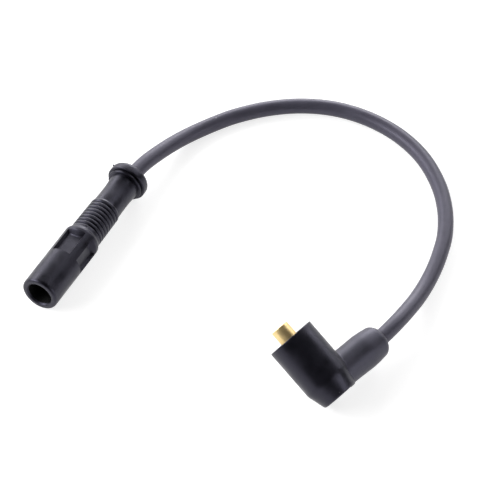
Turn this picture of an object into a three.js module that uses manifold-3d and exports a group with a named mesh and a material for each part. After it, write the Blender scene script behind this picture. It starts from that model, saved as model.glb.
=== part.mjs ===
// Spark plug wire: a straight plug boot, a right-angle coil boot, their terminals and the cable
// between them, lying on a flat surface. Millimetres, +Z up, +Y along the plug boot from its mouth.
import * as THREE from 'three';
import { mergeVertices } from 'three/addons/utils/BufferGeometryUtils.js';
import Module from 'manifold-3d';

const wasm = await Module();
wasm.setup();

// Clearances and round resolution
const seatGap = 0.3;            // between a piece and the rubber or metal that holds it
const cutMargin = 1;            // how far a cutter reaches past the face that it opens
const bootSegments = 32;
const terminalSegments = 24;

// Cable
const cableDiameter = 6.8;
const cableSides = 10;
const cableSteps = 42;

// Plug boot: lengths run along its axis from the mouth
const barrelRadius = 8.14;
const barrelLength = 34.8;
const mouthRounding = 1.5;
const mouthFaceInset = 1.1;     // from the barrel's side to the flat ring of the mouth
const mouthChamfer = 0.75;
const plugBoreRadius = 5.3;     // takes the insulator of the plug
const plugBoreDepth = 16.5;
const plugBoreTaper = 2;
const shoulderLength = 1.6;
const ribRadius = 7.1;
const lastRibRadius = 6.9;
const grooveCount = 8;
const firstGroove = 38.4;
const groovePitch = 2.0;
const grooveWidth = 0.8;
const grooveDepth = 0.7;
const ribsEnd = 54.1;
const neckStep = 0.4;
const neckRadius = 6.42;
const neckStraight = 2.5;
const neckWaistRadius = 6.28;
const neckWaistStart = 62;
const neckWaistEnd = 65;
const neckFlareRadius = 6.65;
const flangeStart = 70.8;
const flangeRadius = 8.93;
const flangeLipThickness = 1.2;
const flangeLipSetback = 1.03;  // the lip is this much smaller than the head behind it
const flangeGrooveWidth = 0.4;
const flangeGrooveDepth = 0.7;
const flangeHeadThickness = 2.5;
const flangeDomeHeight = 2.9;
const exitFlare = 0.3;
const exitFace = 0.3;           // flat ring round the cable's exit

// Grip pockets round the barrel
const pocketCount = 4;
const pocketAngle = 59.5;       // degrees
const pocketRoll = -7.3;        // degrees from upright
const pocketStart = 20.4;
const pocketEnd = 31.2;
const pocketEndSlope = 1.8;
const pocketFloor = 5.6;        // distance of the flat floor from the axis

// Plug terminal
const clipStart = 24;
const clipLength = 14;
const clipRadius = 3.9;
const clipWaist = 0.4;
const sheetThickness = 0.5;
const clipSlitWidth = 0.8;
const clipSlitLength = 9;
const shankRadius = 2.4;
const shankLength = 10.3;
const crimpLength = 9;
const crimpWall = 0.45;
const crimpFloor = 1;

// Coil boot: lengths run along its axis from the closed end
const coilRadius = 10.27;
const coilLength = 30.67;
const coilEndRadius = 7.93;     // the closed end narrows to this
const coilEndTaper = 8;
const coilEdge = 0.6;
const coilMouthEdge = 0.35;
const coilBoreRadius = 7.9;     // slips over the tower of the coil
const coilBoreDepth = 17;
const armHeight = 7.91;         // where the arm's axis meets the body's, above the closed end
const armLean = 2.83;           // degrees that the arm leans away from the mouth
const armRootRadius = 7.5;
const armRootLength = 13;
const armSwellRadius = 7.67;
const armSwellPlace = 21.5;
const armTipRadius = 7.1;
const armReach = 31.2;          // from the axis of the body to the tip of the arm
const armTipRounding = 3.2;

// Coil terminal
const pinRadius = 3.9;
const pinStandOut = 6;
const pinOffset = -0.8;         // along the arm, from the axis of the body
const pinWall = 0.5;
const pinTipRounding = 0.45;
const pinSeam = 0.8;
const pinFloorHeight = 12;      // underside of the pin above the closed end
const pinFloorThickness = 1;
const coilCrimpStart = 5;

// How the two boots lie
const plugMouth = [-66.4, -38.9];
const plugHeading = 90;         // degrees from +X towards +Y
const coilHeel = [67.59, -27.05];
const armHeading = 77;
const coilTilt = 29.3;          // how far the mouth points up

// Middle of the cable where it lies free, from the plug boot to the coil boot
const cableRoute = [
  [-65.7, 48.0, 8.3], [-64.2, 57.5, 7.0], [-62.3, 66.6, 5.5], [-59.7, 75.2, 4.2], [-56.2, 83.0, 3.55],
  [-52.1, 90.1, 3.42], [-47.5, 96.8, 3.42], [-37.2, 107.8, 3.42], [-24.5, 116.8, 3.42], [-10.3, 122.3, 3.42],
  [5.1, 123.7, 3.42], [21.0, 121.0, 3.42], [36.8, 113.6, 3.42], [50.7, 101.4, 3.42], [59.8, 88.8, 3.42],
  [65.9, 75.6, 3.42], [68.5, 65.8, 3.42], [70.2, 56.3, 3.45], [71.2, 46.5, 3.8], [71.7, 36.3, 5.05],
  [71.7, 26.0, 7.15], [71.2, 16.1, 9.05],
];

// Sizes that follow from the ones above
const radians = THREE.MathUtils.degToRad;
const cableRadius = cableDiameter / 2;
const cableBoreRadius = cableRadius + seatGap;
const crimpRadius = cableBoreRadius + crimpWall;
const crimpBoreRadius = crimpRadius + seatGap;
const exitRadius = cableBoreRadius + exitFlare;
const clipBoreRadius = clipRadius + seatGap;
const shankBoreRadius = shankRadius + seatGap;
const headStart = flangeStart + flangeLipThickness + flangeGrooveWidth;
const domeStart = headStart + flangeHeadThickness;
const plugBootLength = domeStart + flangeDomeHeight;
const plugCrimpStart = clipStart + clipLength + shankLength;
const plugCableEnd = plugCrimpStart + crimpFloor + seatGap;
const coilCableEnd = coilCrimpStart + crimpFloor + seatGap;

// Closed solid from a three.js geometry, with its faces turned outwards
function solid(geometry) {
  const bare = geometry.clone();
  bare.deleteAttribute('normal');
  bare.deleteAttribute('uv');
  const merged = mergeVertices(bare, 1e-4);
  const vertProperties = Float32Array.from(merged.attributes.position.array);
  const corner = (i) => new THREE.Vector3().fromArray(vertProperties, 3 * i);
  const faces = [];
  let volume = 0;
  for (let i = 0; i < merged.index.count; i += 3) {
    const [a, b, c] = [0, 1, 2].map((k) => merged.index.getX(i + k));
    if (a === b || b === c || c === a) continue;
    faces.push([a, b, c]);
    volume += corner(a).dot(corner(b).cross(corner(c)));
  }
  const triVerts = Uint32Array.from(faces.flatMap((f) => (volume < 0 ? f.reverse() : f)));
  return new wasm.Manifold(new wasm.Mesh({ numProp: 3, vertProperties, triVerts }));
}

function geometryOf(body) {
  const { numProp, vertProperties, triVerts } = body.getMesh();
  const position = new Float32Array((vertProperties.length / numProp) * 3);
  for (let i = 0; i < position.length / 3; i += 1) {
    for (let k = 0; k < 3; k += 1) position[3 * i + k] = vertProperties[numProp * i + k];
  }
  const geometry = new THREE.BufferGeometry();
  geometry.setAttribute('position', new THREE.BufferAttribute(position, 3));
  geometry.setIndex(Array.from(triVerts));
  geometry.computeVertexNormals();
  return geometry;
}

// Turned shape about +Y from [radius, height] pairs
function turned(profile, segments) {
  return new THREE.LatheGeometry(profile.map(([r, y]) => new THREE.Vector2(r, y)), segments);
}

function cylinder(radius, from, to, segments) {
  return turned([[0, from], [radius, from], [radius, to], [0, to]], segments);
}

// Points of a quarter round between two ends of a profile, the corner being cut off
function quarterRound([r0, y0], [r1, y1], corner, count) {
  const points = [];
  for (let i = 0; i <= count; i += 1) {
    const t = (i / count) * (Math.PI / 2);
    const r = corner === 'radiusFirst' ? r0 + (r1 - r0) * Math.sin(t) : r0 + (r1 - r0) * (1 - Math.cos(t));
    const y = corner === 'radiusFirst' ? y0 + (y1 - y0) * (1 - Math.cos(t)) : y0 + (y1 - y0) * Math.sin(t);
    points.push([r, y]);
  }
  return points;
}

function material(color, roughness, metalness = 0) {
  return new THREE.MeshStandardMaterial({ color, roughness, metalness });
}

const bootRubber = material(0x26272b, 0.6);
const cableRubber = material(0x4a4a50, 0.5);
const brass = material(0xc9a04a, 0.3, 1);
const steel = material(0x9a9a98, 0.35, 1);

function named(name, body, finish) {
  const mesh = new THREE.Mesh(geometryOf(body), finish);
  mesh.name = name;
  return mesh;
}

// Plug boot
function plugBootProfile() {
  const outside = [
    [plugBoreRadius, mouthChamfer],
    [plugBoreRadius + mouthChamfer, 0],
    ...quarterRound([barrelRadius - mouthFaceInset, 0], [barrelRadius, mouthRounding], 'radiusFirst', 3),
    [barrelRadius, barrelLength],
    [ribRadius, barrelLength + shoulderLength],
  ];
  for (let i = 0; i < grooveCount; i += 1) {
    const y = firstGroove + i * groovePitch;
    const r = ribRadius + ((lastRibRadius - ribRadius) * i) / (grooveCount - 1);
    outside.push([r, y - grooveWidth / 2], [r - grooveDepth, y], [r, y + grooveWidth / 2]);
  }
  const lipRadius = flangeRadius - flangeLipSetback;
  const grooveRadius = lipRadius - flangeGrooveDepth;
  outside.push(
    [lastRibRadius, ribsEnd],
    [neckRadius, ribsEnd + neckStep],
    [neckRadius, ribsEnd + neckStep + neckStraight],
    [neckWaistRadius, neckWaistStart],
    [neckWaistRadius, neckWaistEnd],
    [neckFlareRadius, flangeStart],
    [lipRadius, flangeStart],
    [lipRadius, flangeStart + flangeLipThickness],
    [grooveRadius, flangeStart + flangeLipThickness + flangeGrooveWidth / 2],
    [flangeRadius, headStart],
    ...quarterRound([flangeRadius, domeStart], [exitRadius + exitFace, plugBootLength], 'heightFirst', 5),
  );
  const inside = [
    [exitRadius, plugBootLength],
    [cableBoreRadius, plugBootLength - 2 * exitFlare],
    [cableBoreRadius, plugCrimpStart + crimpLength + seatGap],
    [crimpBoreRadius, plugCrimpStart + crimpLength + seatGap],
    [crimpBoreRadius, plugCrimpStart - seatGap - crimpFloor],
    [clipBoreRadius, plugCrimpStart - seatGap - 2 * crimpFloor],
    [clipBoreRadius, plugBoreDepth + plugBoreTaper],
    [plugBoreRadius, plugBoreDepth],
    [plugBoreRadius, mouthChamfer],
  ];
  return [...outside, ...inside];
}

// Cutter for one pocket: flat floor, radial sides, a slope at the end near the ribs
function pocketCutter(turn) {
  const top = barrelRadius + cutMargin;
  const spread = Math.tan(radians(pocketAngle / 2));
  const section = new THREE.Shape([
    new THREE.Vector2(-pocketFloor * spread, pocketFloor),
    new THREE.Vector2(pocketFloor * spread, pocketFloor),
    new THREE.Vector2(top * spread, top),
    new THREE.Vector2(-top * spread, top),
  ]);
  const length = pocketEnd - pocketStart;
  const cutter = new THREE.ExtrudeGeometry(section, { depth: length, bevelEnabled: false });
  const position = cutter.attributes.position;
  for (let i = 0; i < position.count; i += 1) {
    const rise = (position.getY(i) - pocketFloor) / (barrelRadius - pocketFloor);
    if (position.getZ(i) > length / 2) position.setZ(i, length + pocketEndSlope * rise);
  }
  return cutter.rotateX(-Math.PI / 2).translate(0, pocketStart, 0).rotateY(Math.PI + turn);
}

function plugBoot() {
  let body = solid(turned(plugBootProfile(), bootSegments));
  for (let i = 0; i < pocketCount; i += 1) {
    const turn = radians(pocketRoll) + (i * 2 * Math.PI) / pocketCount;
    body = body.subtract(solid(pocketCutter(turn)));
  }
  return named('plug_boot', body, bootRubber);
}

// Snap clip for the head of the plug, a shank, and a barrel crimped round the cable
function plugTerminal() {
  const clipEnd = clipStart + clipLength;
  const inner = clipRadius - sheetThickness;
  const profile = [
    [0, clipEnd - sheetThickness],
    [inner, clipEnd - sheetThickness],
    [inner, clipStart + clipLength * 0.75],
    [inner - clipWaist, clipStart + clipLength * 0.5],
    [inner, clipStart + clipLength * 0.25],
    [inner, clipStart],
    [clipRadius, clipStart],
    [clipRadius, clipStart + clipLength * 0.25],
    [clipRadius - clipWaist, clipStart + clipLength * 0.5],
    [clipRadius, clipStart + clipLength * 0.75],
    [clipRadius, clipEnd],
    [shankRadius, clipEnd + sheetThickness],
    [shankRadius, plugCrimpStart - sheetThickness],
    [crimpRadius, plugCrimpStart],
    [crimpRadius, plugCrimpStart + crimpLength],
    [cableBoreRadius, plugCrimpStart + crimpLength],
    [cableBoreRadius, plugCrimpStart + crimpFloor],
    [0, plugCrimpStart + crimpFloor],
  ];
  const slit = new THREE.BoxGeometry(4 * clipRadius, clipSlitLength + cutMargin, clipSlitWidth)
    .translate(0, clipStart + (clipSlitLength - cutMargin) / 2, 0);
  const body = solid(turned(profile, terminalSegments)).subtract(solid(slit));
  return named('plug_terminal', body, steel);
}

// Coil boot: the body is turned about +Y, the arm points along +X
const coilProfile = [
  [0, 0],
  ...quarterRound([coilEndRadius - coilEdge, 0], [coilEndRadius, coilEdge], 'radiusFirst', 3),
  [coilRadius, coilEndTaper],
  [coilRadius, coilLength - coilMouthEdge],
  [coilRadius - coilMouthEdge, coilLength],
  [0, coilLength],
];

// From turned about +Y to turned about the arm's axis
function alongArm(geometry) {
  return geometry.rotateZ(-Math.PI / 2 - radians(armLean)).translate(0, armHeight, 0);
}

function coilBoot() {
  const arm = [
    [0, 0],
    [armRootRadius, 0],
    [armRootRadius, armRootLength],
    [armSwellRadius, armSwellPlace],
    ...quarterRound([armTipRadius, armReach - armTipRounding], [exitRadius + exitFace, armReach],
      'heightFirst', 4),
    [0, armReach],
  ];
  const mouthFloor = coilLength - coilBoreDepth;
  const mouth = turned([
    [0, mouthFloor],
    [coilBoreRadius, mouthFloor],
    [coilBoreRadius, coilLength - coilMouthEdge],
    [coilBoreRadius + coilMouthEdge, coilLength],
    [coilBoreRadius + coilMouthEdge, coilLength + cutMargin],
    [0, coilLength + cutMargin],
  ], bootSegments);
  const pinBoreStart = pinFloorHeight - seatGap;
  const pinBore = cylinder(pinRadius + seatGap, pinBoreStart, mouthFloor + cutMargin, bootSegments)
    .translate(pinOffset, 0, 0);
  const shankBore = cylinder(shankBoreRadius, armHeight - shankBoreRadius, pinFloorHeight, bootSegments);
  const crossBore = alongArm(cylinder(shankBoreRadius, 0, coilCrimpStart, bootSegments));
  const crimpEnd = coilCrimpStart + crimpLength + seatGap;
  const armBore = alongArm(turned([
    [0, coilCrimpStart - pinFloorThickness],
    [crimpBoreRadius, coilCrimpStart - pinFloorThickness],
    [crimpBoreRadius, crimpEnd],
    [cableBoreRadius, crimpEnd],
    [cableBoreRadius, armReach - 2 * exitFlare],
    [exitRadius, armReach],
    [exitRadius, armReach + cutMargin],
    [0, armReach + cutMargin],
  ], bootSegments));
  let body = solid(turned(coilProfile, bootSegments)).add(solid(alongArm(turned(arm, bootSegments))));
  for (const bore of [mouth, pinBore, shankBore, crossBore, armBore]) body = body.subtract(solid(bore));
  return named('coil_boot', body, bootRubber);
}

// Hollow pin for the tower, an angled shank, and a barrel crimped round the cable
function coilTerminal() {
  const tip = coilLength + pinStandOut;
  const pin = turned([
    [0, pinFloorHeight],
    [pinRadius, pinFloorHeight],
    ...quarterRound([pinRadius, tip - pinTipRounding], [pinRadius - pinTipRounding, tip], 'heightFirst', 2),
    [pinRadius - pinWall, tip],
    [pinRadius - pinWall, pinFloorHeight + pinFloorThickness],
    [0, pinFloorHeight + pinFloorThickness],
  ], bootSegments).translate(pinOffset, 0, 0);
  const seamLength = tip - pinFloorHeight - 3 * pinFloorThickness;
  const seam = new THREE.BoxGeometry(pinSeam, seamLength + cutMargin, pinRadius)
    .translate(pinOffset, tip + cutMargin - (seamLength + cutMargin) / 2, -pinRadius);
  const shank = cylinder(shankRadius, armHeight - shankRadius, pinFloorHeight + pinFloorThickness / 2,
    terminalSegments);
  const crimpEnd = coilCrimpStart + crimpLength;
  const crimp = alongArm(turned([
    [0, 0],
    [shankRadius, 0],
    [shankRadius, coilCrimpStart - pinFloorThickness / 2],
    [crimpRadius, coilCrimpStart],
    [crimpRadius, crimpEnd],
    [cableBoreRadius, crimpEnd],
    [cableBoreRadius, coilCrimpStart + crimpFloor],
    [0, coilCrimpStart + crimpFloor],
  ], terminalSegments));
  const body = solid(pin).subtract(solid(seam)).add(solid(shank)).add(solid(crimp));
  return named('coil_terminal', body, brass);
}

// Group whose +Y lies along an axis, at a place
function placed(pieces, x, y, origin) {
  const z = new THREE.Vector3().crossVectors(x, y);
  const group = new THREE.Group();
  group.quaternion.setFromRotationMatrix(new THREE.Matrix4().makeBasis(x, y, z));
  group.position.copy(origin);
  group.add(...pieces);
  return group;
}

// The plug boot rests on the rim of its mouth and on its flange
const plugTilt = Math.atan((flangeRadius - barrelRadius) / (headStart - mouthRounding));
const heading = radians(plugHeading);
const plugAxis = new THREE.Vector3(
  Math.cos(heading) * Math.cos(plugTilt),
  Math.sin(heading) * Math.cos(plugTilt),
  Math.sin(plugTilt),
);
const plugSide = new THREE.Vector3(Math.sin(heading), -Math.cos(heading), 0);
const plugLift = barrelRadius * Math.cos(plugTilt) - mouthRounding * Math.sin(plugTilt);
const plugOrigin = new THREE.Vector3(...plugMouth, plugLift);

// The coil boot rests on the edge of its closed end
const tilt = radians(coilTilt);
const armAxis = new THREE.Vector3(Math.cos(radians(armHeading)), Math.sin(radians(armHeading)), 0);
const coilAxis = new THREE.Vector3(-armAxis.y * Math.cos(tilt), armAxis.x * Math.cos(tilt), Math.sin(tilt));
const coilLift = Math.max(...coilProfile.map(([r, y]) => r * Math.cos(tilt) - y * Math.sin(tilt)));
const coilOrigin = new THREE.Vector3(...coilHeel, coilLift);
const lean = radians(armLean);
const leanedAxis = armAxis.clone().multiplyScalar(Math.cos(lean)).addScaledVector(coilAxis, -Math.sin(lean));

// Cable: straight inside both boots, then along its free route
function cable() {
  const inPlug = (s) => plugOrigin.clone().addScaledVector(plugAxis, s);
  const armStart = coilOrigin.clone().addScaledVector(coilAxis, armHeight);
  const inArm = (s) => armStart.clone().addScaledVector(leanedAxis, s);
  const plugStraight = plugBootLength - cableDiameter;
  const armStraight = armReach - cableDiameter / 2;
  const points = [
    inPlug(plugCableEnd),
    inPlug((plugCableEnd + plugStraight) / 2),
    inPlug(plugStraight),
    inPlug(plugBootLength - cableDiameter / 4),
    ...cableRoute.map((p) => new THREE.Vector3(...p)),
    inArm(armReach + cableDiameter / 4),
    inArm(armStraight),
    inArm((coilCableEnd + armStraight) / 2),
    inArm(coilCableEnd),
  ];
  const section = new THREE.Shape();
  for (let i = 0; i < cableSides; i += 1) {
    const angle = (i * 2 * Math.PI) / cableSides;
    const point = [cableRadius * Math.cos(angle), cableRadius * Math.sin(angle)];
    if (i === 0) section.moveTo(...point);
    else section.lineTo(...point);
  }
  section.closePath();
  const route = new THREE.CatmullRomCurve3(points, false, 'centripetal');
  const tube = new THREE.ExtrudeGeometry(section, { steps: cableSteps, extrudePath: route });
  return named('ignition_cable', solid(tube), cableRubber);
}

const sparkPlugWire = new THREE.Group();
sparkPlugWire.add(
  placed([plugBoot(), plugTerminal()], plugSide, plugAxis, plugOrigin),
  placed([coilBoot(), coilTerminal()], armAxis, coilAxis, coilOrigin),
  cable(),
);

export default sparkPlugWire;
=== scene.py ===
import math

import bpy
import numpy as np
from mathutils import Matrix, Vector


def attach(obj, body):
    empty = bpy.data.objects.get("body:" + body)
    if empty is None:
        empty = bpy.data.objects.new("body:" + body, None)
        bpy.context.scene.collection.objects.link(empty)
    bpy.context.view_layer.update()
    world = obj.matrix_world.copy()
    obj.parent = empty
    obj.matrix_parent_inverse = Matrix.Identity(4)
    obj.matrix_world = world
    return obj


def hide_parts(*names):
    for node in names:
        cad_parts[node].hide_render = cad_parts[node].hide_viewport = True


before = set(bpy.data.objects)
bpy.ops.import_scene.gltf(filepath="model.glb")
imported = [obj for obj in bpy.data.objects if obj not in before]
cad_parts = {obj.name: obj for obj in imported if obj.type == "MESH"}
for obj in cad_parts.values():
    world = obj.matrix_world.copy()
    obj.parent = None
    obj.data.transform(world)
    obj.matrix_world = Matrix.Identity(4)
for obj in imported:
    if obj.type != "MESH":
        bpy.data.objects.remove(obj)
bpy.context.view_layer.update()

scene = bpy.context.scene
mm = 0.001

# camera, where the photo was taken from
cameraSetup = {
    "target": (-0.0112, 0.0346, 0.0),
    "distance": 1.110,
    "azimuth": 28.2,
    "elevation": 47.0,
    "lens": 194.8,
    "sensor": 36.0,
    "clip": (0.05, 20.0),
}


def placeCamera(setup):
    around = math.radians(setup["azimuth"])
    lift = math.radians(setup["elevation"])
    level = math.cos(lift)
    back = Vector((math.sin(around) * level, -math.cos(around) * level, math.sin(lift)))
    lens = bpy.data.cameras.new("photoCamera")
    lens.sensor_width = setup["sensor"]
    lens.lens = setup["lens"]
    lens.clip_start, lens.clip_end = setup["clip"]
    camera = bpy.data.objects.new("photoCamera", lens)
    camera.location = Vector(setup["target"]) + setup["distance"] * back
    camera.rotation_euler = (math.pi / 2 - lift, 0.0, around)
    scene.collection.objects.link(camera)
    scene.camera = camera


placeCamera(cameraSetup)
print("camera placed")


# mesh helpers shared by the cable, the boots and the terminals
def ringMesh(name, rings, closed=False, capStart=False, capEnd=False, openAround=False):
    # rings of points, each joined to the next; closed joins the last ring to the first
    rings = np.asarray(rings, float)
    count, around = rings.shape[:2]
    faces = []
    for i in range(count if closed else count - 1):
        a, b = i * around, ((i + 1) % count) * around
        for j in range(around - 1 if openAround else around):
            k = (j + 1) % around
            faces.append((a + j, b + j, b + k, a + k))
    if capStart:
        faces.append(tuple(range(around)))
    if capEnd:
        base = (count - 1) * around
        faces.append(tuple(base + j for j in range(around - 1, -1, -1)))
    mesh = bpy.data.meshes.new(name)
    mesh.from_pydata(rings.reshape(-1, 3).tolist(), [], faces)
    mesh.validate()
    return mesh


def addPiece(name, mesh, sharpAngle=40.0):
    for polygon in mesh.polygons:
        polygon.use_smooth = True
    mesh.set_sharp_from_angle(angle=math.radians(sharpAngle))
    piece = bpy.data.objects.new(name, mesh)
    scene.collection.objects.link(piece)
    return piece


def roundCorners(corners, steps=4):
    # corners: (along, radius, rounding); each rounded corner becomes a short curve
    # that takes less than half of the sides next to it
    sideShare = 0.49
    points = []
    for i, (along, radius, rounding) in enumerate(corners):
        here = np.array([along, radius], float)
        if rounding <= 0 or i in (0, len(corners) - 1):
            points.append(here)
            continue
        before = np.array(corners[i - 1][:2], float) - here
        after = np.array(corners[i + 1][:2], float) - here
        reachBefore = min(rounding, sideShare * np.linalg.norm(before))
        reachAfter = min(rounding, sideShare * np.linalg.norm(after))
        start = here + before / np.linalg.norm(before) * reachBefore
        end = here + after / np.linalg.norm(after) * reachAfter
        for t in np.linspace(0, 1, steps + 1):
            points.append((1 - t) ** 2 * start + 2 * t * (1 - t) * here + t ** 2 * end)
    return np.array(points)


def splitLong(points, longest, low, high):
    # adds points on the stretches between low and high, for details that bend the surface there
    result = [points[0]]
    for a, b in zip(points[:-1], points[1:]):
        if max(a[0], b[0]) > low and min(a[0], b[0]) < high:
            pieces = max(1, int(math.ceil(np.linalg.norm(b - a) / longest)))
            result += [a + (b - a) * k / pieces for k in range(1, pieces)]
        result.append(b)
    return np.array(result)


def smoothMin(a, b, blend):
    mix = np.clip(0.5 + 0.5 * (b - a) / blend, 0, 1)
    return b * (1 - mix) + a * mix - blend * mix * (1 - mix)


def smoothMax(a, b, blend):
    return -smoothMin(-a, -b, blend)


def turnedRings(profile, angles, radiusAt=None):
    # profile: (along, radius); gives local points, x = radius sin, y = along, z = radius cos
    rings = []
    for along, radius in profile:
        r = np.full(len(angles), radius) if radiusAt is None else radiusAt(along, radius, angles)
        rings.append(np.stack([r * np.sin(angles), np.full(len(angles), along), r * np.cos(angles)], 1))
    return np.array(rings)


def joinMeshes(name, first, second):
    points = [tuple(v.co) for v in first.vertices] + [tuple(v.co) for v in second.vertices]
    base = len(first.vertices)
    faces = [tuple(p.vertices) for p in first.polygons]
    faces += [tuple(base + v for v in p.vertices) for p in second.polygons]
    mesh = bpy.data.meshes.new(name)
    mesh.from_pydata(points, [], faces)
    mesh.validate()
    return mesh


def place(points, origin, axes):
    # local millimetres to metres in the part's frame
    return (np.asarray(points) @ np.array(axes) + np.array(origin)) * mm


# how the two boots lie, as in the solids: the plug boot on its flange and on the front of its barrel
plugLie = {"mouth": (-66.4, -38.9), "flange": (72.4, 8.93), "barrel": (1.5, 8.14)}
flangeAt, flangeRadius = plugLie["flange"]
barrelAt, barrelRadius = plugLie["barrel"]
plugTilt = math.atan((flangeRadius - barrelRadius) / (flangeAt - barrelAt))
plugX = np.array([1.0, 0.0, 0.0])
plugY = np.array([0.0, math.cos(plugTilt), math.sin(plugTilt)])
plugAxes = (plugX, plugY, np.cross(plugX, plugY))
plugOrigin = (*plugLie["mouth"], barrelRadius * math.cos(plugTilt) - barrelAt * math.sin(plugTilt))

# the right-angle boot on the edge of its closed end
coilLie = {"end": (67.59, -27.05, 6.699), "tilt": 29.3, "armHeading": 77.0}
coilTilt = math.radians(coilLie["tilt"])
armHeading = math.radians(coilLie["armHeading"])
coilX = np.array([math.cos(armHeading), math.sin(armHeading), 0.0])
coilLevel = math.cos(coilTilt)
coilY = np.array([-coilX[1] * coilLevel, coilX[0] * coilLevel, math.sin(coilTilt)])
coilAxes = (coilX, coilY, np.cross(coilX, coilY))
coilOrigin = coilLie["end"]


# cable, in metres
cable = {
    "diameter": 0.0068,
    "exit": (-0.0664, 0.0389, 0.00899),
    "length": 0.3315,
    "sides": 40,
    "step": 0.0012,
    "endRounding": 0.0003,
}
cableRoute = [
    (-0.0664, 0.0107, 0.00868), (-0.0664, 0.0214, 0.00879), (-0.0664, 0.0321, 0.00891),
    (-0.0664, 0.0372, 0.00897), (-0.0657, 0.0480, 0.00830), (-0.0642, 0.0575, 0.00700),
    (-0.0623, 0.0666, 0.00550), (-0.0597, 0.0752, 0.00420), (-0.0562, 0.0830, 0.00355),
    (-0.0521, 0.0901, 0.00342), (-0.0475, 0.0968, 0.00342), (-0.0372, 0.1078, 0.00342),
    (-0.0245, 0.1168, 0.00342), (-0.0103, 0.1223, 0.00342), (0.0051, 0.1237, 0.00342),
    (0.0210, 0.1210, 0.00342), (0.0368, 0.1136, 0.00342), (0.0507, 0.1014, 0.00342),
    (0.0598, 0.0888, 0.00342), (0.0659, 0.0756, 0.00342), (0.0685, 0.0658, 0.00342),
    (0.0702, 0.0563, 0.00345), (0.0712, 0.0465, 0.00380), (0.0717, 0.0363, 0.00505),
    (0.0717, 0.0260, 0.00715), (0.0712, 0.0161, 0.00905), (0.06964, 0.0062, 0.00977),
    (0.06828, 0.00129, 0.00990), (0.06541, -0.00907, 0.01016), (0.06255, -0.01943, 0.01042),
]


def smoothRoute(points, perSpan=24):
    # centripetal curve through the points
    points = [np.array(p) for p in points]
    points = [2 * points[0] - points[1]] + points + [2 * points[-1] - points[-2]]
    line = []
    for i in range(1, len(points) - 2):
        p0, p1, p2, p3 = points[i - 1:i + 3]
        t0 = 0.0
        t1 = t0 + np.linalg.norm(p1 - p0) ** 0.5
        t2 = t1 + np.linalg.norm(p2 - p1) ** 0.5
        t3 = t2 + np.linalg.norm(p3 - p2) ** 0.5
        for t in np.linspace(t1, t2, perSpan, endpoint=False):
            a1 = (t1 - t) / (t1 - t0) * p0 + (t - t0) / (t1 - t0) * p1
            a2 = (t2 - t) / (t2 - t1) * p1 + (t - t1) / (t2 - t1) * p2
            a3 = (t3 - t) / (t3 - t2) * p2 + (t - t2) / (t3 - t2) * p3
            b1 = (t2 - t) / (t2 - t0) * a1 + (t - t0) / (t2 - t0) * a2
            b2 = (t3 - t) / (t3 - t1) * a2 + (t - t1) / (t3 - t1) * a3
            line.append((t2 - t) / (t2 - t1) * b1 + (t - t1) / (t2 - t1) * b2)
    line.append(points[-2])
    return np.array(line)


def evenSteps(line, step):
    lengths = np.concatenate([[0], np.cumsum(np.linalg.norm(np.diff(line, axis=0), axis=1))])
    count = int(round(lengths[-1] / step)) + 1
    at = np.linspace(0, lengths[-1], count)
    return np.stack([np.interp(at, lengths, line[:, k]) for k in range(3)], 1), lengths[-1]


def buildCable():
    line, length = evenSteps(smoothRoute(cableRoute), cable["step"])
    forward = np.gradient(line, axis=0)
    forward /= np.linalg.norm(forward, axis=1)[:, None]
    up = np.array([0.0, 0.0, 1.0])
    side = np.cross(forward, up)
    side /= np.linalg.norm(side, axis=1)[:, None]
    top = np.cross(side, forward)
    angles = np.linspace(0, 2 * math.pi, cable["sides"], endpoint=False)
    radius = np.full(len(line), cable["diameter"] / 2)
    radius[[0, -1]] -= cable["endRounding"]
    rings = (line[:, None, :]
             + radius[:, None, None] * (np.cos(angles)[None, :, None] * side[:, None, :]
                                        + np.sin(angles)[None, :, None] * top[:, None, :]))
    mesh = ringMesh("ignitionCable", rings, capStart=True, capEnd=True)
    piece = addPiece("ignitionCable", mesh, 50)
    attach(piece, "root")
    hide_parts("ignition_cable")
    print("cable built, length %.1f mm" % (length / mm))
    return piece


ignitionCable = buildCable()


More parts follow.
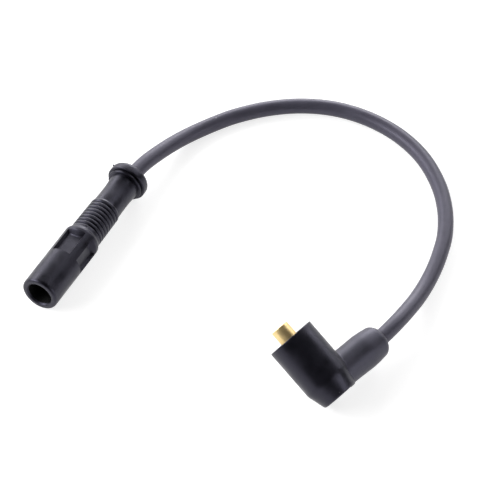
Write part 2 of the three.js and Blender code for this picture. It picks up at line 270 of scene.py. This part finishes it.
# straight boot on the plug, in millimetres from its mouth and from its axis
plugBoot = {
    "barrelRadius": 8.14,
    "barrelLength": 34.8,
    "shoulderEnd": 36.4,
    "mouthRounding": 1.4,
    "mouthChamfer": 0.75,
    "mouthChamferRadius": 6.05,
    "boreRadius": 5.3,
    "boreDepth": 16.5,
    "boreTaper": 2.0,
    "socketRadius": 4.2,
    "socketEnd": 46.0,
    "crimpRadius": 4.55,
    "crimpStart": 47.0,
    "crimpEnd": 57.6,
    "gripStart": 60.0,
    "grip": 3.46,
    "ribRadius": 7.1,
    "lastRibRadius": 6.9,
    "grooves": 8,
    "firstGroove": 38.4,
    "groovePitch": 2.0,
    "grooveWidth": 0.8,
    "grooveDepth": 0.7,
    "ribEnd": 54.1,
    "neck": [(54.5, 6.42, 0.4), (57.0, 6.42, 2.0), (64.0, 6.26, 4.0), (67.5, 6.52, 2.0),
             (70.5, 6.66, 0.4), (70.8, 6.5, 0.15)],
    "lipStart": 70.8,
    "lipRadius": 7.9,
    "lipEnd": 72.0,
    "creaseRadius": 7.2,
    "headStart": 72.4,
    "headRadius": 8.93,
    "domeStart": 74.9,
    "domeSteps": 8,
    "length": 77.8,
    "exitRadius": 4.0,
    "exitFace": 0.3,
    "pocketAngle": 59.5,
    "pocketRoll": -7.3,
    "pocketStart": 20.4,
    "pocketEnd": 31.2,
    "pocketEndSlope": 1.8,
    "pocketFloor": 5.6,
    "pocketEdge": 0.16,
    "pocketWallSlope": 9.0,
    "pocketStep": 0.24,
    "outsideAbove": 7.2,  # radius that parts the outside from the bore
    "plainBore": (19.0, 34.9),  # stretch of the bore behind the pockets
    "paintedShadeStretch": (0.8, 47.0),  # stretch that is seen through the mouth, given painted shade
    "pip": {"at": 76.2, "angle": -66.0, "height": 0.95, "width": 0.85, "sides": 12,
            "outline": [(-0.6, 1.0), (0.0, 1.0), (0.7, 0.9), (0.92, 0.7), (1.0, 0.35)]},
}


def plugBootProfile(boot):
    # once round the wall: mouth, barrel, ribs, neck, flange, and back along the bore
    mouth = (boot["mouthChamfer"], boot["boreRadius"], 0)
    corners = [mouth, (0, boot["mouthChamferRadius"], 0.12),
               (0, boot["barrelRadius"], boot["mouthRounding"]),
               (boot["barrelLength"], boot["barrelRadius"], 0.5),
               (boot["shoulderEnd"], boot["ribRadius"], 0.4)]
    half = boot["grooveWidth"] / 2
    for i in range(boot["grooves"]):
        at = boot["firstGroove"] + i * boot["groovePitch"]
        narrowing = boot["lastRibRadius"] - boot["ribRadius"]
        rib = boot["ribRadius"] + narrowing * i / (boot["grooves"] - 1)
        corners += [(at - half, rib, 0.3), (at, rib - boot["grooveDepth"], 0.15),
                    (at + half, rib, 0.3)]
    corners.append((boot["ribEnd"], boot["lastRibRadius"], 0.3))
    corners += boot["neck"]
    corners += [(boot["lipStart"], boot["lipRadius"], 0.25), (boot["lipEnd"], boot["lipRadius"], 0.3),
                (boot["lipEnd"] + 0.1, boot["creaseRadius"], 0.12),
                (boot["headStart"] - 0.1, boot["creaseRadius"], 0.12),
                (boot["headStart"], boot["headRadius"], 0.35)]
    inner = boot["exitRadius"] + boot["exitFace"]
    rise, sweep = boot["length"] - boot["domeStart"], boot["headRadius"] - inner
    for step in range(0, boot["domeSteps"] + 1):
        turn = step / boot["domeSteps"] * math.pi / 2
        corners.append((boot["domeStart"] + rise * math.sin(turn), inner + sweep * math.cos(turn), 0))
    corners += [(boot["length"] - 0.1, boot["grip"], 0.2), (boot["gripStart"], boot["grip"], 0),
                (boot["crimpEnd"], boot["crimpRadius"], 0), (boot["crimpStart"], boot["crimpRadius"], 0),
                (boot["socketEnd"], boot["socketRadius"], 0),
                (boot["boreDepth"] + boot["boreTaper"], boot["socketRadius"], 0),
                (boot["boreDepth"], boot["boreRadius"], 0), mouth]
    return roundCorners(corners)[:-1]


def pocketRadius(boot):
    # lowers the outside of the barrel to the floor of each grip pocket
    half = math.radians(boot["pocketAngle"] / 2)
    roll = math.radians(boot["pocketRoll"])
    edge, steep = boot["pocketEdge"], boot["pocketWallSlope"]
    first, last = boot["pocketStart"] - 1, boot["pocketEnd"] + boot["pocketEndSlope"] + 1

    def at(along, radius, angles):
        plain = np.full(len(angles), float(radius))
        if radius < boot["outsideAbove"] or not first < along < last:
            return plain
        off = (angles - roll + math.pi / 4) % (math.pi / 2) - math.pi / 4
        floor = boot["pocketFloor"] / np.cos(off)
        side = floor + steep * boot["barrelRadius"] * (np.abs(off) - half)
        rise = (boot["barrelRadius"] - boot["pocketFloor"]) / boot["pocketEndSlope"]
        farEnd = boot["pocketFloor"] + rise * (along - boot["pocketEnd"])
        nearEnd = boot["pocketFloor"] + steep * (boot["pocketStart"] - along)
        surface = smoothMax(smoothMax(floor, side, edge), np.maximum(farEnd, nearEnd), edge)
        return smoothMin(surface, plain, edge)

    return at


def pocketAngles(boot):
    # columns of points round the boot in degrees, closer at the pockets' sides
    half = boot["pocketAngle"] / 2
    near = [-4.0, -2.6, -1.6, -0.9, -0.3, 0.3, 0.9, 1.5, 2.1, 2.8, 3.8]
    floor = np.linspace(-half + 5.5, half - 5.5, 15)
    between = np.linspace(-9, 9, 6)
    columns = []
    for k in range(4):
        centre = boot["pocketRoll"] + 90 * k
        columns += [centre + x for x in floor]
        columns += [centre + half + x for x in near]
        columns += [centre + 45 + x for x in between]
        columns += [centre + 90 - half - x for x in near[::-1]]
    return np.radians(np.array(columns))


def buildPip(boot):
    # short gate mark left by the mould on the rounded end
    pip = boot["pip"]
    turn = math.radians(pip["angle"])
    out = np.array([math.sin(turn), 0.0, math.cos(turn)])
    across = np.array([math.cos(turn), 0.0, -math.sin(turn)])
    lengthwise = np.array([0.0, 1.0, 0.0])
    along = (pip["at"] - boot["domeStart"]) / (boot["length"] - boot["domeStart"])
    inner = boot["exitRadius"] + boot["exitFace"]
    base = inner + (boot["headRadius"] - inner) * math.sqrt(1 - along ** 2)
    angles = np.linspace(0, 2 * math.pi, pip["sides"], endpoint=False)
    rings = []
    for rise, width in pip["outline"]:
        r = pip["width"] / 2 * width
        centre = out * (base + rise * pip["height"]) + pip["at"] * lengthwise
        rings.append(centre + r * (np.cos(angles)[:, None] * across
                                   + np.sin(angles)[:, None] * lengthwise))
    return np.array(rings)


def buildPlugBoot(boot):
    first, last = boot["pocketStart"] - 0.8, boot["pocketEnd"] + boot["pocketEndSlope"] + 0.8
    profile = splitLong(plugBootProfile(boot), boot["pocketStep"], first, last)
    # the added points stay on the outside and go from the plain wall of the bore
    outside, (low, high) = boot["outsideAbove"], boot["plainBore"]
    keep = [i for i, p in enumerate(profile) if p[1] > outside or not low < p[0] < high
            or i == 0 or profile[i - 1][1] > outside]
    profile = profile[keep]
    rings = turnedRings(profile, pocketAngles(boot), pocketRadius(boot))
    shell = ringMesh("plugBootShell", place(rings, plugOrigin, plugAxes), closed=True)
    pip = ringMesh("plugBootPip", place(buildPip(boot), plugOrigin, plugAxes),
                   capStart=True, capEnd=True)
    mesh = joinMeshes("plugBootRubber", shell, pip)
    piece = addPiece("plugBootRubber", mesh, 50)
    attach(piece, "root")
    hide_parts("plug_boot")
    print("plug boot built,", len(mesh.vertices), "points")
    return piece


plugBootRubber = buildPlugBoot(plugBoot)


# right-angle boot on the coil, in millimetres from its closed end and from its axis
coilBoot = {
    "radius": 10.27,
    "length": 30.67,
    "mouthEdge": 0.4,
    "boreRadius": 7.9,
    "boreDepth": 17.0,
    "wellRadius": 5.2,
    "wellFloor": 11.8,
    "endRadius": 7.93,
    "endTaper": 8.0,
    "endEdge": 0.9,
    "endFace": 4.0,
    "taperRounding": 1.0,
    "middle": 0.3,
    "sides": 128,
    "armHeight": 7.91,
    "armLean": 2.83,
    "armSizes": [(13.0, 7.5), (17.5, 7.58), (21.5, 7.67), (25.0, 7.44), (28.0, 7.1)],
    "armRoot": 7.5,
    "armRootSteps": (-1.2, 0.0, 0.08, 0.18, 0.3, 0.42, 0.6, 1.0, 2.0),
    "armSteps": 16,
    "armReach": 31.2,
    "armTipSteps": 9,
    "armExit": 4.3,
    "armExitSizes": [(0.0, 3.9), (0.15, 3.6), (0.45, 3.46), (6.0, 3.46)],
    "armFillet": 0.5,
    "armSides": 112,
}


def buildCoilBody(boot):
    # once round the wall: closed end, taper, mouth, bore, and the well that the pin stands in
    floor = boot["length"] - boot["boreDepth"]
    corners = [(0, boot["middle"], 0), (0, boot["endFace"], 0), (0, boot["endRadius"], boot["endEdge"]),
               (boot["endTaper"], boot["radius"], boot["taperRounding"]),
               (boot["length"], boot["radius"], boot["mouthEdge"]),
               (boot["length"], boot["boreRadius"] + boot["mouthEdge"], 0.15),
               (boot["length"] - boot["mouthEdge"], boot["boreRadius"], 0.15),
               (floor, boot["boreRadius"], 0.4), (floor, boot["wellRadius"], 0.2),
               (boot["wellFloor"], boot["wellRadius"], 0.2), (boot["wellFloor"], boot["middle"], 0)]
    angles = np.linspace(0, 2 * math.pi, boot["sides"], endpoint=False)
    rings = turnedRings(roundCorners(corners, 6), angles)
    return place(rings, coilOrigin, coilAxes)


def armRoots(boot, angles, lean):
    # distance along the arm at which each line of its surface leaves the body
    root = np.full(len(angles), boot["radius"])
    aloft = boot["armRoot"] * np.cos(angles)
    for attempt in range(12):
        height = boot["armHeight"] + aloft * math.cos(lean) - root * math.sin(lean)
        share = np.clip(height / boot["endTaper"], 0, 1)
        body = boot["endRadius"] + (boot["radius"] - boot["endRadius"]) * share
        out = np.sqrt(body ** 2 - (boot["armRoot"] * np.sin(angles)) ** 2)
        root = (out - aloft * math.sin(lean)) / math.cos(lean)
    return root


def buildArm(boot):
    # each line along the arm starts inside the body
    angles = np.linspace(0, 2 * math.pi, boot["armSides"], endpoint=False)
    lean = math.radians(boot["armLean"])
    outwards = np.array([math.cos(lean), -math.sin(lean), 0.0])
    upwards = np.array([math.sin(lean), math.cos(lean), 0.0])
    base = np.array([0.0, boot["armHeight"], 0.0])
    root = armRoots(boot, angles, lean)
    rings = []

    def ring(along, radius):
        return (base + along[:, None] * outwards + (radius * np.cos(angles))[:, None] * upwards
                + (radius * np.sin(angles))[:, None] * np.array([0.0, 0.0, 1.0]))

    def level(value):
        return np.full(len(angles), value)

    for step in boot["armRootSteps"]:
        left = max(0.0, 1 - max(step, 0.0) / boot["armFillet"])
        swell = boot["armFillet"] * (1 - math.sqrt(max(0.0, 1 - left ** 2)))
        rings.append(ring(root + step, level(boot["armRoot"] + swell)))
    places = [size[0] for size in boot["armSizes"]]
    sizes = [size[1] for size in boot["armSizes"]]
    start, lastStep = places[0], boot["armRootSteps"][-1]
    for share in (0.5, 1.0):
        rings.append(ring((root + lastStep) * (1 - share) + start * share, level(boot["armRoot"])))
    for along in np.linspace(start, places[-1], boot["armSteps"])[1:]:
        rings.append(ring(level(along), level(np.interp(along, places, sizes))))
    rise, sweep = boot["armReach"] - places[-1], sizes[-1] - boot["armExit"]
    for step in range(1, boot["armTipSteps"] + 1):
        turn = step / boot["armTipSteps"] * math.pi / 2
        rings.append(ring(level(places[-1] + rise * math.sin(turn)),
                          level(boot["armExit"] + sweep * math.cos(turn))))
    for back, radius in boot["armExitSizes"]:
        rings.append(ring(level(boot["armReach"] - back), level(radius)))
    return place(rings, coilOrigin, coilAxes)


def buildCoilBoot(boot):
    body = ringMesh("coilBody", buildCoilBody(boot), capStart=True, capEnd=True)
    arm = ringMesh("coilArm", buildArm(boot), capStart=True, capEnd=True)
    mesh = joinMeshes("coilBootRubber", body, arm)
    boot["bodyFaces"] = len(body.polygons)
    piece = addPiece("coilBootRubber", mesh, 50)
    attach(piece, "root")
    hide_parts("coil_boot")
    print("coil boot built,", len(mesh.vertices), "points")
    return piece


coilBootRubber = buildCoilBoot(coilBoot)


# brass pin rolled from sheet, with a seam along it, in the right-angle boot's millimetres
coilPin = {
    "radius": 3.9,
    "offset": -0.8,
    "wall": 0.5,
    "tip": 36.67,
    "root": 12.0,
    "seam": 0.7,
    "seamTurn": 180.0,
    "columns": 90,
    "floorRadius": 3.35,
    "floorThickness": 1.0,
    "floorMiddle": 0.2,
    "floorSides": 48,
}


def buildCoilPin(pin):
    half = pin["seam"] / 2 / pin["radius"]
    start = math.radians(pin["seamTurn"])
    angles = start + np.linspace(half, 2 * math.pi - half, pin["columns"])
    inner = pin["radius"] - pin["wall"]
    corners = [(pin["root"], inner, 0), (pin["root"], pin["radius"], 0.1),
               (pin["tip"], pin["radius"], 0.35), (pin["tip"], inner, 0.12), (pin["root"], inner, 0)]
    profile = roundCorners(corners)[:-1]
    aside = np.array([pin["offset"], 0.0, 0.0])
    rings = turnedRings(profile, angles) + aside
    mesh = ringMesh("coilPinTube", place(rings, coilOrigin, coilAxes), closed=True, openAround=True)
    # the two faces along the seam
    count = len(profile)
    points = [tuple(v.co) for v in mesh.vertices]
    faces = [tuple(p.vertices) for p in mesh.polygons]
    faces.append(tuple(i * len(angles) for i in range(count)))
    faces.append(tuple(i * len(angles) + len(angles) - 1 for i in range(count - 1, -1, -1)))
    tube = bpy.data.meshes.new("coilPinTube")
    tube.from_pydata(points, [], faces)
    below, above = pin["root"], pin["root"] + pin["floorThickness"]
    floor = roundCorners([(below, pin["floorMiddle"], 0), (below, pin["floorRadius"], 0.1),
                          (above, pin["floorRadius"], 0.1), (above, pin["floorMiddle"], 0)])
    around = np.linspace(0, 2 * math.pi, pin["floorSides"], endpoint=False)
    floorRings = turnedRings(floor, around) + aside
    floorMesh = ringMesh("coilPinFloor", place(floorRings, coilOrigin, coilAxes),
                         capStart=True, capEnd=True)
    mesh = joinMeshes("coilPinBrass", tube, floorMesh)
    piece = addPiece("coilPinBrass", mesh, 40)
    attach(piece, "root")
    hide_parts("coil_terminal")
    print("brass pin built")
    return piece


coilPinBrass = buildCoilPin(coilPin)


# effects that several materials share, each a node group with its own inputs and outputs
def newGroup(name, inputs, outputs):
    group = bpy.data.node_groups.new(name, "ShaderNodeTree")
    for label, kind, value in inputs:
        socket = group.interface.new_socket(name=label, in_out="INPUT", socket_type=kind)
        socket.default_value = value
    for label, kind in outputs:
        group.interface.new_socket(name=label, in_out="OUTPUT", socket_type=kind)
    return group, group.nodes.new("NodeGroupInput"), group.nodes.new("NodeGroupOutput")


def mouldedSurface():
    # soft cloudy tone and fine skin of moulded or extruded rubber
    group, entry, leave = newGroup(
        "mouldedSurface",
        [("Cloud Scale", "NodeSocketFloat", 60.0), ("Cloud Amount", "NodeSocketFloat", 0.3),
         ("Grain Scale", "NodeSocketFloat", 900.0), ("Grain Height", "NodeSocketFloat", 0.2),
         ("Base Roughness", "NodeSocketFloat", 0.5), ("Roughness Change", "NodeSocketFloat", 0.1)],
        [("Tone", "NodeSocketFloat"), ("Roughness", "NodeSocketFloat"), ("Height", "NodeSocketFloat")])
    nodes, link = group.nodes, group.links.new
    place3 = nodes.new("ShaderNodeTexCoord")
    clouds = nodes.new("ShaderNodeTexNoise")
    clouds.inputs["Detail"].default_value = 4.0
    link(place3.outputs["Object"], clouds.inputs["Vector"])
    link(entry.outputs["Cloud Scale"], clouds.inputs["Scale"])
    centred = nodes.new("ShaderNodeMath")
    centred.operation = "SUBTRACT"
    centred.inputs[1].default_value = 0.5
    link(clouds.outputs["Fac"], centred.inputs[0])
    amount = nodes.new("ShaderNodeMath")
    amount.operation = "MULTIPLY_ADD"
    amount.inputs[2].default_value = 1.0
    link(centred.outputs[0], amount.inputs[0])
    link(entry.outputs["Cloud Amount"], amount.inputs[1])
    link(amount.outputs[0], leave.inputs["Tone"])
    grain = nodes.new("ShaderNodeTexNoise")
    grain.inputs["Detail"].default_value = 3.0
    link(place3.outputs["Object"], grain.inputs["Vector"])
    link(entry.outputs["Grain Scale"], grain.inputs["Scale"])
    rough = nodes.new("ShaderNodeMath")
    rough.operation = "MULTIPLY_ADD"
    link(centred.outputs[0], rough.inputs[0])
    link(entry.outputs["Roughness Change"], rough.inputs[1])
    link(entry.outputs["Base Roughness"], rough.inputs[2])
    link(rough.outputs[0], leave.inputs["Roughness"])
    height = nodes.new("ShaderNodeMath")
    height.operation = "MULTIPLY"
    link(grain.outputs["Fac"], height.inputs[0])
    link(entry.outputs["Grain Height"], height.inputs[1])
    link(height.outputs[0], leave.inputs["Height"])
    return group


def dustFlecks():
    # sparse pale specks
    group, entry, leave = newGroup(
        "dustFlecks",
        [("Scale", "NodeSocketFloat", 300.0), ("Size", "NodeSocketFloat", 0.12),
         ("Share", "NodeSocketFloat", 0.06)],
        [("Mask", "NodeSocketFloat")])
    nodes, link = group.nodes, group.links.new
    place3 = nodes.new("ShaderNodeTexCoord")
    cells = nodes.new("ShaderNodeTexVoronoi")
    link(place3.outputs["Object"], cells.inputs["Vector"])
    link(entry.outputs["Scale"], cells.inputs["Scale"])
    near = nodes.new("ShaderNodeMath")
    near.operation = "LESS_THAN"
    link(cells.outputs["Distance"], near.inputs[0])
    link(entry.outputs["Size"], near.inputs[1])
    split = nodes.new("ShaderNodeSeparateColor")
    link(cells.outputs["Color"], split.inputs["Color"])
    chosen = nodes.new("ShaderNodeMath")
    chosen.operation = "LESS_THAN"
    link(split.outputs["Red"], chosen.inputs[0])
    link(entry.outputs["Share"], chosen.inputs[1])
    mask = nodes.new("ShaderNodeMath")
    mask.operation = "MULTIPLY"
    link(near.outputs[0], mask.inputs[0])
    link(chosen.outputs[0], mask.inputs[1])
    link(mask.outputs[0], leave.inputs["Mask"])
    return group


mouldedSurfaceGroup = mouldedSurface()
dustFlecksGroup = dustFlecks()


def newMaterial(name):
    material = bpy.data.materials.new(name)
    material.use_nodes = True
    nodes = material.node_tree.nodes
    return material, nodes, material.node_tree.links.new, nodes["Principled BSDF"]


def useGroup(nodes, group, values):
    node = nodes.new("ShaderNodeGroup")
    node.node_tree = group
    for label, value in values.items():
        node.inputs[label].default_value = value
    return node


def tonedColour(nodes, link, surface, colour):
    toned = nodes.new("ShaderNodeMix")
    toned.data_type = "RGBA"
    toned.blend_type = "MULTIPLY"
    toned.inputs["Factor"].default_value = 1.0
    toned.inputs["A"].default_value = colour
    link(surface.outputs["Tone"], toned.inputs["B"])
    return toned.outputs["Result"]


def finishSurface(nodes, link, surface, shader, look):
    # roughness and fine relief, the same way on rubber and metal
    link(surface.outputs["Roughness"], shader.inputs["Roughness"])
    bump = nodes.new("ShaderNodeBump")
    bump.inputs["Strength"].default_value = look["bump"]
    bump.inputs["Distance"].default_value = look["relief"]
    link(surface.outputs["Height"], bump.inputs["Height"])
    link(bump.outputs["Normal"], shader.inputs["Normal"])


def rubberMaterial(name, look):
    material, nodes, link, shader = newMaterial(name)
    surface = useGroup(nodes, mouldedSurfaceGroup, look["surface"])
    flecks = useGroup(nodes, dustFlecksGroup, look["flecks"])
    dusted = nodes.new("ShaderNodeMix")
    dusted.data_type = "RGBA"
    dusted.inputs["B"].default_value = look["dust"]
    link(flecks.outputs["Mask"], dusted.inputs["Factor"])
    link(tonedColour(nodes, link, surface, look["colour"]), dusted.inputs["A"])
    link(dusted.outputs["Result"], shader.inputs["Base Color"])
    finishSurface(nodes, link, surface, shader, look)
    shader.inputs["Specular IOR Level"].default_value = look["gloss"]
    shader.inputs["Specular Tint"].default_value = look["tint"]
    return material


bootLook = {
    "colour": (0.0052, 0.0049, 0.0072, 1.0),
    "dust": (0.09, 0.09, 0.10, 1.0),
    "gloss": 0.54,
    "tint": (0.75, 0.73, 1.0, 1.0),
    "bump": 0.35,
    "relief": 0.0001,
    "surface": {"Cloud Scale": 150.0, "Cloud Amount": 2.2, "Grain Scale": 2600.0, "Grain Height": 1.0,
                "Base Roughness": 0.39, "Roughness Change": 0.50},
    "flecks": {"Scale": 420.0, "Size": 0.12, "Share": 0.02},
}
armLook = {
    "colour": (0.025, 0.024, 0.033, 1.0),
    "dust": (0.10, 0.10, 0.11, 1.0),
    "gloss": 0.72,
    "tint": (0.77, 0.75, 1.0, 1.0),
    "bump": 0.5,
    "relief": 0.0001,
    "surface": {"Cloud Scale": 190.0, "Cloud Amount": 1.9, "Grain Scale": 2600.0, "Grain Height": 1.0,
                "Base Roughness": 0.46, "Roughness Change": 0.24},
    "flecks": {"Scale": 420.0, "Size": 0.12, "Share": 0.02},
}
# near-black, low-gloss rubber inside the plug boot's mouth: painted shade where the deep bore gets
# little light
boreShadeLook = {
    "colour": (0.0015, 0.0015, 0.0018, 1.0),
    "dust": (0.01, 0.01, 0.01, 1.0),
    "gloss": 0.12,
    "tint": (1.0, 1.0, 1.0, 1.0),
    "bump": 0.2,
    "relief": 0.0001,
    "surface": {"Cloud Scale": 140.0, "Cloud Amount": 0.5, "Grain Scale": 2600.0, "Grain Height": 1.0,
                "Base Roughness": 0.60, "Roughness Change": 0.10},
    "flecks": {"Scale": 420.0, "Size": 0.10, "Share": 0.01},
}
cableLook = {
    "colour": (0.064, 0.0610, 0.083, 1.0),
    "dust": (0.20, 0.20, 0.22, 1.0),
    "gloss": 0.5,
    "tint": (0.82, 0.79, 1.0, 1.0),
    "bump": 0.25,
    "relief": 0.0001,
    "surface": {"Cloud Scale": 160.0, "Cloud Amount": 0.6, "Grain Scale": 2200.0, "Grain Height": 1.0,
                "Base Roughness": 0.45, "Roughness Change": 0.14},
    "flecks": {"Scale": 380.0, "Size": 0.14, "Share": 0.03},
}
bootRubber = rubberMaterial("bootRubber", bootLook)
armRubber = rubberMaterial("armRubber", armLook)
paintedShadeBore = rubberMaterial("paintedShadeBore", boreShadeLook)
cableRubber = rubberMaterial("cableRubber", cableLook)

brassLook = {
    "colour": (0.95, 0.72, 0.35, 1.0),
    "metallic": 0.8,
    "bump": 0.15,
    "relief": 0.00005,
    "surface": {"Cloud Scale": 400.0, "Cloud Amount": 0.2, "Grain Scale": 3000.0, "Grain Height": 1.0,
                "Base Roughness": 0.44, "Roughness Change": 0.10},
}
steelLook = {
    "colour": (0.50, 0.50, 0.49, 1.0),
    "metallic": 1.0,
    "bump": 0.15,
    "relief": 0.00005,
    "surface": {"Cloud Scale": 400.0, "Cloud Amount": 0.2, "Grain Scale": 3000.0, "Grain Height": 1.0,
                "Base Roughness": 0.34, "Roughness Change": 0.12},
}


def metalMaterial(name, look):
    material, nodes, link, shader = newMaterial(name)
    surface = useGroup(nodes, mouldedSurfaceGroup, look["surface"])
    link(tonedColour(nodes, link, surface, look["colour"]), shader.inputs["Base Color"])
    finishSurface(nodes, link, surface, shader, look)
    shader.inputs["Metallic"].default_value = look["metallic"]
    return material


brass = metalMaterial("brass", brassLook)
steel = metalMaterial("steel", steelLook)


def dress(piece, material, other=None, otherFaces=()):
    piece.data.materials.clear()
    piece.data.materials.append(material)
    if other is not None:
        piece.data.materials.append(other)
        for index in otherFaces:
            piece.data.polygons[index].material_index = 1


def boreShadeFaces(piece, boot):
    # faces of the wall inside the mouth, past its chamfer, which get the near-black painted shade
    axes, origin = np.array(plugAxes), np.array(plugOrigin)
    first, last = boot["paintedShadeStretch"]
    inside = []
    for polygon in piece.data.polygons:
        local = axes @ (np.array(polygon.center) / mm - origin)
        if first < local[1] < last and math.hypot(local[0], local[2]) < boot["boreRadius"] + 0.05:
            inside.append(polygon.index)
    return inside


def armFaces(piece, boot):
    # faces of the arm, which come after the body's
    return range(boot["bodyFaces"], len(piece.data.polygons))


dress(ignitionCable, cableRubber)
# the plug boot's bore faces take the near-black painted-shade rubber
dress(plugBootRubber, bootRubber, paintedShadeBore, boreShadeFaces(plugBootRubber, plugBoot))
dress(coilBootRubber, bootRubber, armRubber, armFaces(coilBootRubber, coilBoot))
dress(coilPinBrass, brass)
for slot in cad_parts["plug_terminal"].material_slots:
    slot.material = steel
print("materials assigned")


# white ground that keeps the soft shadow; what the camera sees of it glows a little
ground = {"size": 4.0, "cells": 8, "colour": 0.80, "seenColour": 0.50, "glow": 0.762}


def buildGround(setup):
    half, cells = setup["size"] / 2, setup["cells"]
    row = cells + 1
    lines = np.linspace(-half, half, row)
    points = [(x, y, 0.0) for y in lines for x in lines]
    corners = [r * row + c for r in range(cells) for c in range(cells)]
    faces = [(i, i + 1, i + row + 1, i + row) for i in corners]
    mesh = bpy.data.meshes.new("ground")
    mesh.from_pydata(points, [], faces)
    floor = bpy.data.objects.new("ground", mesh)
    scene.collection.objects.link(floor)
    material = bpy.data.materials.new("whiteGround")
    material.use_nodes = True
    nodes, link = material.node_tree.nodes, material.node_tree.links.new
    nodes.clear()
    plain = nodes.new("ShaderNodeBsdfDiffuse")
    plain.inputs["Color"].default_value = (setup["colour"],) * 3 + (1.0,)
    shaded = nodes.new("ShaderNodeBsdfDiffuse")
    shaded.inputs["Color"].default_value = (setup["seenColour"],) * 3 + (1.0,)
    glow = nodes.new("ShaderNodeEmission")
    glow.inputs["Strength"].default_value = setup["glow"]
    both = nodes.new("ShaderNodeAddShader")
    link(shaded.outputs[0], both.inputs[0])
    link(glow.outputs[0], both.inputs[1])
    path = nodes.new("ShaderNodeLightPath")
    seen = nodes.new("ShaderNodeMath")
    seen.operation = "MAXIMUM"
    link(path.outputs["Is Camera Ray"], seen.inputs[0])
    link(path.outputs["Is Glossy Ray"], seen.inputs[1])
    seenToo = nodes.new("ShaderNodeMath")
    seenToo.operation = "MAXIMUM"
    link(seen.outputs[0], seenToo.inputs[0])
    link(path.outputs["Is Transmission Ray"], seenToo.inputs[1])
    choose = nodes.new("ShaderNodeMixShader")
    link(seenToo.outputs[0], choose.inputs[0])
    link(plain.outputs[0], choose.inputs[1])
    link(both.outputs[0], choose.inputs[2])
    output = nodes.new("ShaderNodeOutputMaterial")
    link(choose.outputs[0], output.inputs["Surface"])
    floor.data.materials.append(material)


buildGround(ground)


# soft studio light; each lamp stands at a bearing from +X and a height angle, and faces the middle
lights = {
    "world": 0.03,
    "distance": 1.3,
    "middle": (0.0, 0.03, 0.0),
    "lamps": [
        {"name": "frontLamp", "bearing": -135.0, "height": 30.0, "size": 0.7, "power": 6.5},
        {"name": "frontLeftLamp", "bearing": -160.0, "height": 30.0, "size": 0.7, "power": 8.0},
        {"name": "leftLamp", "bearing": 170.0, "height": 32.0, "size": 0.9, "power": 6.5},
        {"name": "backLeftLamp", "bearing": 140.0, "height": 18.0, "size": 0.7, "power": 4.0},
        {"name": "backLamp", "bearing": 112.0, "height": 20.0, "size": 0.7, "power": 9.5},
        {"name": "backRightLamp", "bearing": 76.0, "height": 30.0, "size": 1.0, "power": 7.0},
        {"name": "rightLamp", "bearing": 5.0, "height": 18.0, "size": 0.7, "power": 4.0},
    ],
}


def buildLights(setup):
    world = bpy.data.worlds.new("whiteStudio")
    world.use_nodes = True
    nodes, link = world.node_tree.nodes, world.node_tree.links.new
    nodes.clear()
    lightSide = nodes.new("ShaderNodeBackground")
    lightSide.inputs["Strength"].default_value = setup["world"]
    seenSide = nodes.new("ShaderNodeBackground")
    seenSide.inputs["Strength"].default_value = 1.0
    seenSide.inputs["Color"].default_value = (1, 1, 1, 1)
    lightSide.inputs["Color"].default_value = (1, 1, 1, 1)
    path = nodes.new("ShaderNodeLightPath")
    choose = nodes.new("ShaderNodeMixShader")
    link(path.outputs["Is Camera Ray"], choose.inputs[0])
    link(lightSide.outputs[0], choose.inputs[1])
    link(seenSide.outputs[0], choose.inputs[2])
    output = nodes.new("ShaderNodeOutputWorld")
    link(choose.outputs[0], output.inputs["Surface"])
    scene.world = world
    for lamp in setup["lamps"]:
        data = bpy.data.lights.new(lamp["name"], "AREA")
        data.shape = "DISK"
        data.size = lamp["size"]
        data.energy = lamp["power"]
        bearing, height = math.radians(lamp["bearing"]), math.radians(lamp["height"])
        level = math.cos(height)
        out = Vector((math.cos(bearing) * level, math.sin(bearing) * level, math.sin(height)))
        light = bpy.data.objects.new(lamp["name"], data)
        light.location = Vector(setup["middle"]) + setup["distance"] * out
        light.rotation_euler = (-out).to_track_quat("-Z", "Y").to_euler()
        scene.collection.objects.link(light)


buildLights(lights)
scene.view_settings.view_transform = "Standard"
print("ground and lights placed")
